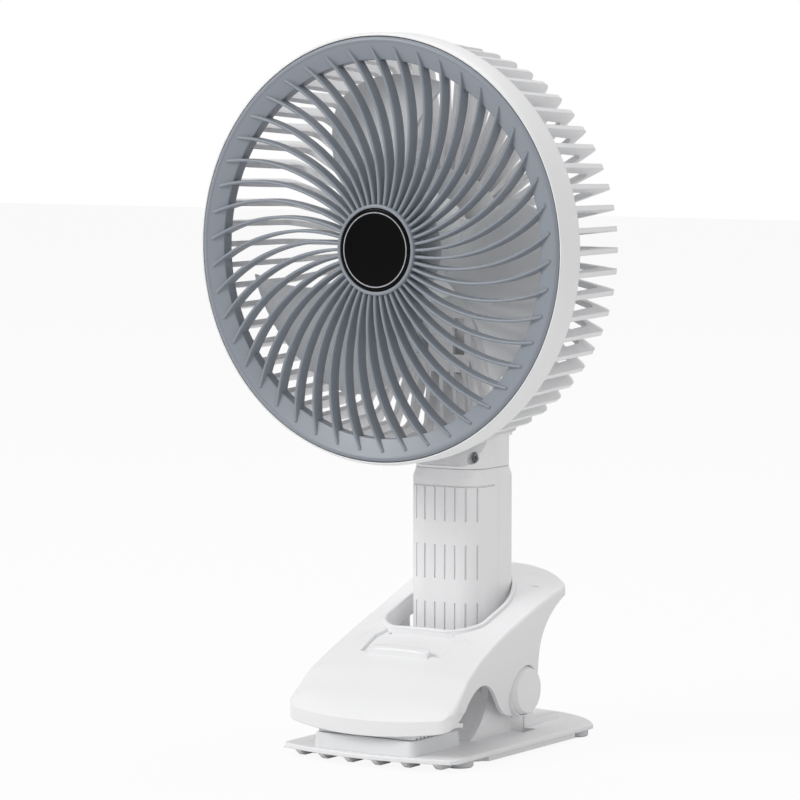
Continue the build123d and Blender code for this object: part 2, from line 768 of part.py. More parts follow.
def battery_cradle():
    """Moulded block between the cell and the front shell."""
    front = POLE_Y - HANDLE_HALF + HANDLE_WALL
    body = block(-8.0, 8.0, front, CELL_Y - 2.0, CELL_BOTTOM, CELL_BOTTOM + CELL_LONG)
    foot = block(-8.0, 8.0, front, CELL_Y + 9.0, HANDLE_BOTTOM + HANDLE_FLOOR, CELL_BOTTOM + 0.5)
    body = body + foot
    room = Pos(0, CELL_Y, CELL_BOTTOM + CELL_LONG / 2 + 0.5) * Cylinder(CELL_R, CELL_LONG)
    return body - room


def circuit_board():
    """Controller board behind the rear wall."""
    return block(-8, 8, BOARD_Y, BOARD_Y + BOARD_THICK, INLET_Z - 6, BUTTON_Z + 7)


def push_switch():
    """Small switch under the button."""
    face = BOARD_Y + BOARD_THICK
    body = block(-2.6, 2.6, face, face + 1.2, BUTTON_Z - 2.6, BUTTON_Z + 2.6)
    return body + disc_y(1.2, face + 1.2, face + 1.6, z=BUTTON_Z)


def power_button():
    """Round cap that travels into the handle."""
    back = POLE_Y + HANDLE_HALF
    cap = disc_y(BUTTON_R, back - 2.0, back + 0.9, z=BUTTON_Z)
    cap = fillet(cap.edges().sort_by(Axis.Y)[-1], 0.5)
    collar = disc_y(BUTTON_R + 0.6, back - 2.2, back - 1.3, z=BUTTON_Z)
    return cap + collar


def indicator_lens():
    """Strip behind the wall with three round windows."""
    back = POLE_Y + HANDLE_HALF
    face = BOARD_Y + BOARD_THICK
    strip = block(-6, 6, face, back - HANDLE_WALL, LENS_Z - 1.6, LENS_Z + 1.6)
    for k in (-1, 0, 1):
        strip = strip + disc_y(0.95, back - HANDLE_WALL, back - 0.1, x=4.0 * k, z=LENS_Z)
    return strip


def charging_inlet():
    """Charging socket: a metal sleeve with a tongue."""
    back = POLE_Y + HANDLE_HALF
    face = BOARD_Y + BOARD_THICK
    turn = Pos(0, back - 0.4, INLET_Z) * Rot(90, 0, 0)
    depth = back - 0.4 - face
    sleeve = turn * extrude(RectangleRounded(8.9, 3.2, 1.5), depth)
    mouth = turn * extrude(RectangleRounded(8.3, 2.6, 1.2), depth - 1)
    tongue = block(-3.2, 3.2, face + 0.5, back - 1.2, INLET_Z - 0.35, INLET_Z + 0.35)
    return sleeve - mouth + tongue


def battery_leads():
    """Two short leads from the cell's top to the board."""
    wires = []
    for x in (-3.5, 3.5):
        z = CELL_BOTTOM + CELL_LONG
        start = (x, CELL_Y + 4.0, z - 0.1)
        middle = (x, CELL_Y + 8.0, z + 4.0)
        end = (x, BOARD_Y - 0.3, BUTTON_Z + 2.0)
        path = ThreePointArc(start, middle, end)
        wires.append(sweep(Plane(origin=start, z_dir=path % 0) * Circle(0.6), path))
    return Compound(children=wires)


# Base


def plate_outline(inset=0.0):
    """Plan of the base: straight sides with bowed ends."""
    half = PLATE_HALF - inset
    front = PLATE_FRONT + inset
    rear = PLATE_REAR - inset
    low = front + PLATE_FRONT_BOW
    high = rear - PLATE_REAR_BOW
    edges = [
        ThreePointArc((-half, low), (0, front), (half, low)),
        Line((half, low), (half, high)),
        ThreePointArc((half, high), (0, rear), (-half, high)),
        Line((-half, high), (-half, low)),
    ]
    face = make_face(edges)
    return fillet(face.vertices(), 6.0)


def ear_outline():
    """Side view of an ear with its low rail, seen along X."""
    top = HANDLE_BOTTOM + 6.0
    front = POLE_Y - 18.0
    rear = POLE_Y + 18.0
    foot = RIM_Y + 39.0
    rail = RIM_Y + 118.0
    low = PLATE_TOP - 1.0
    edges = [
        Line((foot, low), (foot, PLATE_TOP)),
        ThreePointArc((foot, PLATE_TOP), (foot + 11.0, PLATE_TOP + 9.0), (front, HINGE_Z)),
        Line((front, HINGE_Z), (front, top)),
        Line((front, top), (rear, top)),
        Line((rear, top), (rear, HINGE_Z - 4)),
        ThreePointArc((rear, HINGE_Z - 4), (rear + 3.0, PLATE_TOP + 6.5), (rear + 10.0, PLATE_TOP + 3.4)),
        Line((rear + 10.0, PLATE_TOP + 3.4), (rail - 1.5, PLATE_TOP + 3.4)),
        ThreePointArc((rail - 1.5, PLATE_TOP + 3.4), (rail - 0.4, PLATE_TOP + 2.9), (rail, PLATE_TOP + 1.8)),
        Line((rail, PLATE_TOP + 1.8), (rail, low)),
        Line((rail, low), (foot, low)),
    ]
    return make_face(edges)


def base_plate():
    """Plate, ears, socket deck, skirt and grip ribs in one moulding."""
    plate = extrude(Pos(0, 0, PLATE_TOP - PLATE_THICK) * plate_outline(), PLATE_THICK)
    plate = fillet(plate.edges().group_by(Axis.Z)[-1], 0.8)
    under = PLATE_TOP - PLATE_THICK
    middle = (SKIRT_FRONT + SKIRT_REAR) / 2
    long = SKIRT_REAR - SKIRT_FRONT
    frame = RectangleRounded(2 * SKIRT_HALF, long, 6) - RectangleRounded(
        2 * SKIRT_HALF - 3.6, long - 3.6, 4.2)
    skirt = extrude(Pos(0, middle, SKIRT_BOTTOM) * frame, under - SKIRT_BOTTOM + 0.5)
    body = plate + skirt
    for k in range(-3, 3):
        x = (k + 0.5) * GRIP_RIB_PITCH
        start = PLATE_FRONT + 3.6 + PLATE_FRONT_BOW * (x / PLATE_HALF) ** 2
        clear_of_foot = abs(x) + 2 < FOOT_X - FOOT_R
        end = SKIRT_FRONT + 1 if clear_of_foot else FOOT_FRONT_Y - FOOT_R - 0.7
        rib = make_face(Polyline(
            (start, under + 0.5),
            (start + 0.8, GRIP_RIB_BOTTOM + 0.8),
            (start + 2.0, GRIP_RIB_BOTTOM),
            (end, GRIP_RIB_BOTTOM),
            (end, under + 0.5),
            close=True,
        ))
        body = body + side_plate(rib, x - 1.1, x + 1.1)
    ears = mirrored(side_plate(ear_outline(), EAR_IN, EAR_OUT))
    deck = block(
        -EAR_IN - 0.5, EAR_IN + 0.5, POLE_Y - 18, POLE_Y + 14,
        HANDLE_BOTTOM - DECK_THICK, HANDLE_BOTTOM,
    )
    socket = post(EAR_IN + 0.2, 12.6, HANDLE_BOTTOM - 1, HANDLE_BOTTOM + 6)
    body = body + ears + deck + socket
    body = body - post(HANDLE_HALF, HANDLE_CORNER, HANDLE_BOTTOM, HANDLE_BOTTOM + 10)
    body = body - bar_x(PIN_R + RUN_FIT, -40, 40, POLE_Y, HINGE_Z)
    notch = block(EAR_OUT, BOSS_OUT, RIM_Y + 75.5, RIM_Y + 87.0, 0, PLATE_TOP + 1)
    body = body - mirrored(notch)
    relief = block(EAR_OUT - 0.6, EAR_OUT + 1, RIM_Y + 75.5, RIM_Y + 87.0, 0, HINGE_Z - 8)
    body = body - mirrored(relief)
    for y in FOOT_SCREW_Y:
        body = body - Pos(0, y, HANDLE_BOTTOM) * Cylinder(1.1, 12)
    return body


def base_pad():
    """Grip block under the nose of the jaw."""
    front = RIM_Y - 11.0
    rear = RIM_Y + 30.0
    plan = Pos(0, (front + rear) / 2, PLATE_TOP) * RectangleRounded(54, rear - front, 3.0)
    body = extrude(plan, PAD_TOP - PLATE_TOP, taper=6)
    body = fillet(body.edges().group_by(Axis.Z)[-1], 0.8)
    return body


def rubber_feet():
    """Four round feet under the plate."""
    top = PLATE_TOP - PLATE_THICK
    foot = Cylinder(FOOT_R, top)
    foot = chamfer(foot.edges().group_by(Axis.Z)[0], 0.6)
    places = [
        (side * FOOT_X, y)
        for side in (-1, 1)
        for y in (FOOT_FRONT_Y, FOOT_REAR_Y)
    ]
    return Compound(children=[Pos(x, y, top / 2) * foot for x, y in places])


def foot_screws():
    """Two screws from the deck into the foot of the handle."""
    seat = HANDLE_BOTTOM - DECK_THICK
    shank = HANDLE_BOTTOM + HANDLE_FLOOR - seat
    screw = Pos(0, 0, seat - 0.7) * Cylinder(2.4, 1.4) + Pos(0, 0, seat + shank / 2) * Cylinder(1.1, shank)
    return Compound(children=[Pos(0, y, 0) * screw for y in FOOT_SCREW_Y])


# Upper jaw


def jaw_edge_z(y):
    """Height of the jaw's side crease: a shallow parabola from nose to tail."""
    back = y - RIM_Y
    return HEAD_Z - 199.4 + 0.564 * back - 0.00142 * back * back


def jaw_section(y, half, crown, inset):
    """Cross-section: leaning sides under a crowned top."""
    edge = jaw_edge_z(y) - inset
    low = HEAD_Z - 220.0 - inset
    wide = half - inset
    foot = wide - JAW_WALL_LEAN * (edge - low)
    outline = make_face([
        Line((-foot, low), (foot, low)),
        Line((foot, low), (wide, edge)),
        ThreePointArc((wide, edge), (0, edge + crown), (-wide, edge)),
        Line((-wide, edge), (-foot, low)),
    ])
    creases = outline.vertices().sort_by(Axis.Y)[-2:]
    return Pos(0, y, 0) * (Plane.XZ * fillet(creases, 2.0))


def jaw_form(inset=0.0):
    """Body of the jaw before it is trimmed, through seven sections."""
    stations = [
        (-17.0, 44.6, 0.6),
        (0.0, 44.4, 2.2),
        (20.0, 42.0, 4.0),
        (45.0, 40.4, 5.0),
        (73.0, 40.4, 5.0),
        (95.0, 41.4, 4.0),
        (116.0, 42.5, 2.6),
    ]
    return loft([jaw_section(RIM_Y + y, half, crown, inset) for y, half, crown in stations])


def jaw_plan(inset=0.0):
    """Plan of the jaw as a tall prism: bowed nose and bowed tail."""
    nose_half = 44.2 - inset
    tail_half = 42.4 - inset
    nose = NOSE_FRONT + inset
    tail = TAIL_REAR - inset
    nose_side = nose + 8.0
    tail_side = tail - 17.0
    face = make_face([
        ThreePointArc((-nose_half, nose_side), (0, nose), (nose_half, nose_side)),
        Line((nose_half, nose_side), (nose_half, RIM_Y + 40)),
        Line((nose_half, RIM_Y + 40), (tail_half, tail_side)),
        ThreePointArc((tail_half, tail_side), (0, tail), (-tail_half, tail_side)),
        Line((-tail_half, tail_side), (-nose_half, RIM_Y + 40)),
        Line((-nose_half, RIM_Y + 40), (-nose_half, nose_side)),
    ])
    front = face.vertices().group_by(Axis.Y)[0]
    rear = face.vertices().group_by(Axis.Y)[-1]
    face = fillet(front, 8.0)
    rear = face.vertices().group_by(Axis.Y)[-1]
    return extrude(fillet(rear, 7.0), 120)


def jaw_side():
    """Side outline: nose lip, arch, hinge lobe, hollow back and thin tail."""
    def at(back, down):
        return (RIM_Y + back, HEAD_Z - down)

    arch = Spline(
        at(-3, 210.6), at(7.4, 209.5), at(14.2, 201.8), at(28.0, 196.0),
        at(42.0, 200.5), at(52.0, 209.0), at(66.0, 215.2),
    )
    lobe = ThreePointArc(
        arch @ 1,
        (POLE_Y + BOSS_R * math.cos(math.radians(-60)), HINGE_Z + BOSS_R * math.sin(math.radians(-60))),
        (POLE_Y + BOSS_R, HINGE_Z),
    )
    hollow = Spline(
        lobe @ 1, at(83.6, 192.0), at(82.6, 182.0), at(86.5, 171.5), at(98.0, 162.0),
        tangents=[(0, 1), (1, 0.42)],
    )
    tail_low = jaw_edge_z(RIM_Y + 120) - TAIL_THICK
    return make_face([
        Line(at(-20, 150), at(-20, 216.5)),
        Line(at(-20, 216.5), at(-12.5, 216.5)),
        Line(at(-12.5, 216.5), arch @ 0),
        arch,
        lobe,
        hollow,
        Line(hollow @ 1, (RIM_Y + 120, tail_low)),
        Line((RIM_Y + 120, tail_low), at(120, 130)),
        Line(at(120, 130), at(-20, 150)),
    ])


def hole_plan(grow=0.0):
    """Plan of the opening that the handle passes through, as a tall prism."""
    half = HOLE_HALF + grow
    front = HOLE_FRONT - grow
    rear = HOLE_REAR + grow
    corner = front + 13.0
    arc_x = half * math.cos(math.radians(45))
    arc_y = HOLE_MID + (rear - HOLE_MID) * math.sin(math.radians(45))
    face = make_face([
        Line((half, corner), (half, HOLE_MID)),
        ThreePointArc((half, HOLE_MID), (arc_x, arc_y + 1.0), (0, rear)),
        ThreePointArc((0, rear), (-arc_x, arc_y + 1.0), (-half, HOLE_MID)),
        Line((-half, HOLE_MID), (-half, corner)),
        ThreePointArc((-half, corner), (-half + 4.2, front + 4.2), (-half + 14, front + 0.6)),
        ThreePointArc((-half + 14, front + 0.6), (0, front), (half - 14, front + 0.6)),
        ThreePointArc((half - 14, front + 0.6), (half - 4.2, front + 4.2), (half, corner)),
    ])
    return extrude(face, 120)


def upper_jaw():
    """Thin-walled jaw with its cheeks, skirted opening, tray and stop."""
    form = jaw_form()
    outer = form & jaw_plan() & side_plate(jaw_side(), -60, 60)
    cavity = jaw_form(JAW_WALL) & jaw_plan(JAW_WALL)
    body = outer - cavity
    boss = bar_x(BOSS_R - 0.3, EAR_OUT + SIDE_GAP, BOSS_OUT + 2, POLE_Y, HINGE_Z)
    body = body + mirrored(boss)
    seat = bar_x(CAP_R + 0.25, BOSS_OUT, BOSS_OUT + 20, POLE_Y, HINGE_Z)
    body = body - mirrored(seat)
    floor = block(-40, 40, RIM_Y - 12, RIM_Y + 11.5, HEAD_Z - 213.3, HEAD_Z - 211.3)
    body = body + (floor & form & jaw_plan(0.5))
    region = block(-REST_HALF, REST_HALF, REST_FRONT, HOLE_FRONT + 6, 0, HEAD_Z)
    under = region & (Pos(0, 0, -REST_DEEP) * form - Pos(0, 0, -REST_DEEP - 2.2) * form)
    body = body - (region & (form - Pos(0, 0, -REST_DEEP) * form)) + under
    ring = hole_plan(2.0) - hole_plan()
    skirt = ring & (Pos(0, 0, 0.5) * form - Pos(0, 0, -HOLE_SKIRT) * form)
    body = body - hole_plan() + skirt
    stop = block(-STOP_HALF, STOP_HALF, REST_FRONT - 2.6, REST_FRONT + 0.8, 0, HEAD_Z)
    stop = fillet(stop.edges().filter_by(Axis.Z), 1.2)
    stop = stop & (Pos(0, 0, STOP_TALL) * form - Pos(0, 0, -REST_DEEP - 1) * form)
    body = body + stop
    body = body - bar_x(PIN_R, -60, 60, POLE_Y, HINGE_Z)
    return body


def jaw_pad():
    """Grip plate under the nose with shallow ribs across."""
    low = PAD_TOP + PAD_GAP
    pad = block(-26, 26, RIM_Y - 9, RIM_Y + 11, low, HEAD_Z - 213.3)
    pad = fillet(pad.edges().filter_by(Axis.Z), 3.0)
    for k in range(6):
        y = RIM_Y - 6.5 + 3 * k
        pad = pad - block(-30, 30, y, y + 1.2, 0, low + 0.8)
    return pad


def hinge_pin():
    """Steel rod through ears, spring and jaw."""
    return bar_x(PIN_R, -BOSS_OUT - 2.0, BOSS_OUT + 2.0, POLE_Y, HINGE_Z)


def hinge_cap(side):
    """Round cap pressed on one end of the pin."""
    profile = make_face(Polyline(
        (0, BOSS_OUT),
        (CAP_R, BOSS_OUT),
        (CAP_R, BOSS_OUT + 1.6),
        (CAP_FACE_R, BOSS_OUT + CAP_THICK),
        (0, BOSS_OUT + CAP_THICK),
        close=True,
    ))
    cap = Pos(0, POLE_Y, HINGE_Z) * (Rot(0, 0, -90) * revolve(profile, Axis.Y))
    cap = cap - bar_x(PIN_R, 0, BOSS_OUT + 2.0, POLE_Y, HINGE_Z)
    return cap if side > 0 else mirror(cap, Plane.YZ)


def biarc(start, start_way, end, end_way):
    """Two arcs that join two points with given directions."""
    across = end - start
    both = start_way + end_way
    bend = 2 * (1 - start_way.dot(end_way))
    reach = across.dot(both)
    arm = (math.sqrt(reach * reach + bend * across.dot(across)) - reach) / bend
    joint = (start + end + (start_way - end_way) * arm) * 0.5
    heading = (end - end_way * arm) - (start + start_way * arm)
    return [TangentArc(start, joint, tangent=start_way), TangentArc(joint, end, tangent=heading)]


def coil_point(angle, x):
    """Point on the coil's mean line."""
    turn = math.radians(angle)
    return Vector(x, POLE_Y + COIL_R * math.cos(turn), HINGE_Z + COIL_R * math.sin(turn))


def coil_way(angle):
    """Direction of the coil's mean line."""
    turn = math.radians(angle)
    rise = COIL_PITCH / (2 * math.pi)
    return Vector(rise, COIL_R * math.sin(turn), -COIL_R * math.cos(turn)).normalized()


def least_gap(points):
    """Least clear distance between parts of the wire that are not neighbours."""
    least = 1000.0
    skip = round(len(points) / (2 * COIL_TURNS))
    for i, one in enumerate(points):
        for other in points[i + skip:]:
            least = min(least, (other - one).length - 2 * WIRE_R)
    return least


def clip_spring():
    """Torsion spring on the pin: one leg lies on the plate, one stands free."""
    low_drop = HINGE_Z - PLATE_TOP - WIRE_R - SPRING_SEAT
    low_reach = math.sqrt(SPRING_LEG ** 2 + COIL_R ** 2 - low_drop ** 2)
    start = math.degrees(math.atan2(-low_drop, low_reach) - math.atan2(SPRING_LEG, COIL_R))
    whole = 360 * COIL_TURNS + SPRING_TURN
    quarters = round(whole / 90)
    step = whole / quarters
    long = COIL_PITCH * whole / 360
    spots = [(start - k * step, -long / 2 + long * k / quarters) for k in range(quarters + 1)]
    edges = []
    for (one, one_x), (two, two_x) in zip(spots, spots[1:]):
        edges += biarc(coil_point(one, one_x), coil_way(one), coil_point(two, two_x), coil_way(two))
    coil = Wire(edges)
    foot = coil @ 0 - coil_way(start) * SPRING_LEG
    tip = coil @ 1 + coil_way(start - whole) * SPRING_LEG
    path = Wire([Line(foot, coil @ 0)] + edges + [Line(coil @ 1, tip)])
    count = 24 * (COIL_TURNS + 1)
    gap = least_gap([coil @ (i / count) for i in range(count + 1)])
    print("clip spring: least gap to itself", round(gap, 2), "mm")
    return sweep(Plane(origin=foot, z_dir=coil_way(start)) * Circle(WIRE_R), path)


PARTS = {
    "upper_jaw": upper_jaw,
    "jaw_pad": jaw_pad,
    "hinge_pin": hinge_pin,
    "clip_spring": clip_spring,
    "front_grille": front_grille,
    "grille_badge": grille_badge,
    "badge_ring": badge_ring,
    "rear_cage": rear_cage,
    "motor_cover": motor_cover,
    "motor_can": motor_can,
    "motor_end_plate": motor_end_plate,
    "motor_bushes": motor_bushes,
    "motor_screws": motor_screws,
    "motor_shaft": motor_shaft,
    "fan_rotor": fan_rotor,
    "rotor_nut": rotor_nut,
    "tilt_screw": tilt_screw,
    "tilt_washers": tilt_washers,
    "neck_screws": neck_screws,
    "swivel_spigot": swivel_spigot,
    "swivel_clip": swivel_clip,
    "handle_front": handle_front,
    "handle_rear": handle_rear,
    "handle_screws": handle_screws,
    "battery_cell": battery_cell,
    "battery_cradle": battery_cradle,
    "circuit_board": circuit_board,
    "push_switch": push_switch,
    "power_button": power_button,
    "indicator_lens": indicator_lens,
    "charging_inlet": charging_inlet,
    "battery_leads": battery_leads,
    "base_plate": base_plate,
    "base_pad": base_pad,
    "rubber_feet": rubber_feet,
    "foot_screws": foot_screws,
}

for name, make in PARTS.items():
    export_step(make(), f"parts/{name}.step")

for side, name in ((-1, "hinge_cap_left"), (1, "hinge_cap_right")):
    export_step(hinge_cap(side), f"parts/{name}.step")

neck_front, neck_rear = neck_pieces()
export_step(neck_front, "parts/neck_front.step")
export_step(neck_rear, "parts/neck_rear.step")
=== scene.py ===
import math

import bmesh
import bpy
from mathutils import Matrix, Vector
from mathutils.bvhtree import BVHTree


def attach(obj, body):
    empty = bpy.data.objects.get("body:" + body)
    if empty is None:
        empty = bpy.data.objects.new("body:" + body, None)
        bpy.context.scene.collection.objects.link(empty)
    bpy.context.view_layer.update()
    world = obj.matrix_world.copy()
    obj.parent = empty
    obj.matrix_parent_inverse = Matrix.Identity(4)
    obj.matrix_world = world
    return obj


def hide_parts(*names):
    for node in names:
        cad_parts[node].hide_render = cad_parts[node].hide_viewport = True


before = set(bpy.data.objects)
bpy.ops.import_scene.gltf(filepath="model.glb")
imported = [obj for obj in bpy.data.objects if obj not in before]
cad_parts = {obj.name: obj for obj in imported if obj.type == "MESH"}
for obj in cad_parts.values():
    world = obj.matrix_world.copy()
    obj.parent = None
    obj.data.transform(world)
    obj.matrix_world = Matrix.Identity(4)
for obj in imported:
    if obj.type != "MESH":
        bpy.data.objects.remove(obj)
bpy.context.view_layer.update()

# Clip-on fan with a handle, dressed for rendering.
# Sizes are written in millimetres and turned to metres by mm(); the frame is the CAD model's.


def mm(value):
    """Millimetres to metres."""
    return value / 1000.0


HEAD_Z = 230.2
RIM_Y = -62.25
POLE_Y = 10.75

GRILLE_R = 94.6
GRILLE_DEPTH = 8.6
ANNULUS_R = 84.4
ANNULUS_SINK = 2.6
LIP_R = 92.2
RIB_COUNT = 46
RIB_THICK = 1.4
RIB_FRONT = 0.55
RIB_BACK = 7.0
RIB_ARC_R = 82.0
RIB_ARC_TURN = 52.4
RIB_FIRST_ANGLE = -14.7
HUB_R = 20.3
BADGE_R = 18.6
FIN_SLIM = 3.2

HINGE_Z = 26.1
HOLE_HALF = 26.0
HOLE_FRONT = RIM_Y + 37.0
HOLE_MID = RIM_Y + 72.0
HOLE_REAR = RIM_Y + 99.0
REST_FRONT = RIM_Y + 20.4
STOP_HALF = 16.6
STOP_TALL = 3.4
NOSE_HALF = 44.0
SIDE_HALF = 44.2
NOSE_FRONT = -14.5
NOSE_BOW = 7.5
NOSE_ROLL = 9.0
NOSE_LOW = 215.9
NOSE_RISE = 0.45
SQUEEZE_START = 66.0
SQUEEZE_END = 101.6
BEAD_R = 1.15
BEAD_FLAT = 0.8
NOSE_DROP = [
    (-14.5, 1.7), (-12.0, 2.6), (-7.0, 4.0), (-1.0, 2.1), (2.9, 0.8), (6.0, 0.0),
]
FLANK_RISE = [(4.0, 0.0), (10.4, 1.7), (23.0, 1.9), (42.8, 1.2), (62.2, 0.0)]
JAW_CUTS_X = (-43.2, -41.5, -39, -36, -30, -20, -10, 0, 10, 20, 30, 36, 39, 41.5, 43.2)
JAW_CUTS_Y = [RIM_Y + depth for depth in (
    -13.5, -12.2, -10.8, -9.2, -7.5, -5.5, -3.5, -1.5, 0.5, 3, 6, 10, 16, 23, 32, 43, 54, 72, 78, 84, 90,
)]

PLATE_TOP = 6.0
PLATE_THICK = 2.2
PLATE_HALF = 46.5
PLATE_FRONT = -76.75
PLATE_FRONT_BOW = 8.0
SKIRT_HALF_SEEN = 45.2
GRIP_RIB_PITCH = 14.7
GRIP_RIB_LONG = 12.5
GRIP_RIB_NOSE = 4.2
GRIP_RIB_LOW = 0.75
EAR_IN = 21.2
EAR_WALL = 1.2


# Colours and material nodes


def shade(code):
    """sRGB hex to the linear colour that Blender works in."""
    channels = [int(code[i:i + 2], 16) / 255 for i in (1, 3, 5)]
    linear = [c / 12.92 if c <= 0.04045 else ((c + 0.055) / 1.055) ** 2.4 for c in channels]
    return (*linear, 1.0)


def add_node(tree, kind, settings=None, inputs=None):
    """Adds a node, sets its properties, and fills or links its inputs."""
    made = tree.nodes.new(kind)
    for key, value in (settings or {}).items():
        setattr(made, key, value)
    for key, value in (inputs or {}).items():
        if isinstance(value, bpy.types.NodeSocket):
            tree.links.new(value, made.inputs[key])
        else:
            made.inputs[key].default_value = value
    return made


def moulded(name, colour, rough, grain_mm, depth_mm, mottle, extra=None):
    """Plastic with a fine mould texture, softly rounded edges and faintly uneven gloss."""
    material = bpy.data.materials.new(name)
    material.use_nodes = True
    tree = material.node_tree
    tree.nodes.clear()
    place = add_node(tree, "ShaderNodeTexCoord")
    grain = add_node(tree, "ShaderNodeTexNoise", None, {
        "Vector": place.outputs["Object"], "Scale": 1 / mm(grain_mm), "Detail": 2.0,
    })
    broad = add_node(tree, "ShaderNodeTexNoise", None, {
        "Vector": place.outputs["Object"], "Scale": 1 / mm(28), "Detail": 3.0,
    })
    low = shade(colour)
    high = tuple(min(1.0, c * (1 + mottle)) for c in low[:3]) + (1.0,)
    tint = add_node(tree, "ShaderNodeMix", {"data_type": "RGBA"}, {
        "Factor": broad.outputs["Fac"], "A": low, "B": high,
    })
    gloss = add_node(tree, "ShaderNodeMapRange", None, {
        "Value": broad.outputs["Fac"], "From Min": 0.3, "From Max": 0.7,
        "To Min": rough - 0.04, "To Max": rough + 0.05,
    })
    edges = add_node(tree, "ShaderNodeBevel", {"samples": 4}, {"Radius": mm(0.5)})
    bump = add_node(tree, "ShaderNodeBump", None, {
        "Height": grain.outputs["Fac"], "Strength": 0.35, "Distance": mm(depth_mm),
        "Normal": edges.outputs["Normal"],
    })
    values = {
        "Base Color": tint.outputs["Result"],
        "Roughness": gloss.outputs["Result"],
        "Normal": bump.outputs["Normal"],
        "IOR": 1.5,
    }
    values.update(extra or {})
    surface = add_node(tree, "ShaderNodeBsdfPrincipled", None, values)
    add_node(tree, "ShaderNodeOutputMaterial", None, {"Surface": surface.outputs["BSDF"]})
    return material


def metal(name, colour, rough, grain_mm, stretch, extra=None):
    """Metal with marks of its making: drawn, rolled or turned."""
    material = bpy.data.materials.new(name)
    material.use_nodes = True
    tree = material.node_tree
    tree.nodes.clear()
    place = add_node(tree, "ShaderNodeTexCoord")
    stretched = add_node(tree, "ShaderNodeMapping", None, {
        "Vector": place.outputs["Object"], "Scale": stretch,
    })
    marks = add_node(tree, "ShaderNodeTexNoise", None, {
        "Vector": stretched.outputs["Vector"], "Scale": 1 / mm(grain_mm), "Detail": 3.0,
    })
    low = shade(colour)
    high = tuple(min(1.0, c * 1.12) for c in low[:3]) + (1.0,)
    tint = add_node(tree, "ShaderNodeMix", {"data_type": "RGBA"}, {
        "Factor": marks.outputs["Fac"], "A": low, "B": high,
    })
    gloss = add_node(tree, "ShaderNodeMapRange", None, {
        "Value": marks.outputs["Fac"], "From Min": 0.3, "From Max": 0.7,
        "To Min": rough - 0.05, "To Max": rough + 0.07,
    })
    bump = add_node(tree, "ShaderNodeBump", None, {
        "Height": marks.outputs["Fac"], "Strength": 0.3, "Distance": mm(0.02),
    })
    values = {
        "Base Color": tint.outputs["Result"], "Metallic": 1.0,
        "Roughness": gloss.outputs["Result"], "Normal": bump.outputs["Normal"],
    }
    values.update(extra or {})
    surface = add_node(tree, "ShaderNodeBsdfPrincipled", None, values)
    add_node(tree, "ShaderNodeOutputMaterial", None, {"Surface": surface.outputs["BSDF"]})
    return material


# ABS, moulded and left satin: soft highlights, almost pure white.
WHITE_ABS = moulded("abs_white_satin_moulded", "#F3F3F4", 0.36, 0.9, 0.015, 0.02)
# ABS in cool grey, satin: the grille is one moulding.
GREY_ABS = moulded("abs_grey_satin_moulded", "#8D939C", 0.34, 0.9, 0.012, 0.04)
# Polypropylene, moulded: the blades are a little greyer and waxier than the shell.
BLADE_PP = moulded("polypropylene_pale_moulded", "#ECEDEE", 0.34, 1.2, 0.015, 0.03)
# Acrylic, polished black: deep and mirror-like.
BLACK_ACRYLIC = moulded("acrylic_black_polished", "#040405", 0.16, 3.0, 0.002, 0.2, {
    "Specular IOR Level": 0.12,
})
# Foil, vacuum-metallised: a thin ring that shows faint rainbow colours.
FOIL = metal("foil_metallised_ring", "#C9CCD1", 0.22, 1.4, (1, 1, 1), {
    "Thin Film Thickness": 420.0, "Thin Film IOR": 1.45,
})
# Steel, zinc-plated and turned: screws, pin and shaft.
STEEL = metal("steel_zinc_plated_turned", "#9B9DA1", 0.30, 1.1, (1, 6, 1))
# Steel, drawn spring wire: darker, with marks along the wire.
SPRING_STEEL = metal("steel_spring_wire_drawn", "#6F7073", 0.34, 0.8, (1, 1, 1))
# Steel sheet, pressed and galvanised: motor can and end plate.
SHEET_STEEL = metal("steel_sheet_galvanised", "#A4A6A9", 0.36, 4.0, (1, 1, 1))
# Brass, turned: bushes.
BRASS = metal("brass_turned", "#B5904C", 0.32, 0.9, (1, 8, 1))
# Inner mouldings, dark grey polyamide.
DARK_PA = moulded("polyamide_dark_moulded", "#3B3C3F", 0.48, 0.8, 0.03, 0.1)
# Rubber, moulded: matt, with a soft sheen.
WHITE_RUBBER = moulded("rubber_white_moulded", "#E4E5E7", 0.64, 0.7, 0.05, 0.05)
PALE_RUBBER = moulded("rubber_pale_moulded", "#E9EAEB", 0.55, 0.7, 0.04, 0.04)
# Shrink sleeve on the cell, solder mask on the board, cover on the leads, clear lens.
CELL_SLEEVE = moulded("pvc_shrink_sleeve_blue", "#3E5F94", 0.30, 1.6, 0.02, 0.1)
SOLDER_MASK = moulded("solder_mask_green", "#1E5B34", 0.35, 2.2, 0.02, 0.2)
LEAD_COVER = moulded("silicone_lead_red", "#93201C", 0.45, 0.8, 0.02, 0.1)
LENS = moulded("polycarbonate_clear_lens", "#DDE0E4", 0.18, 1.5, 0.004, 0.02, {
    "Transmission Weight": 0.45,
})

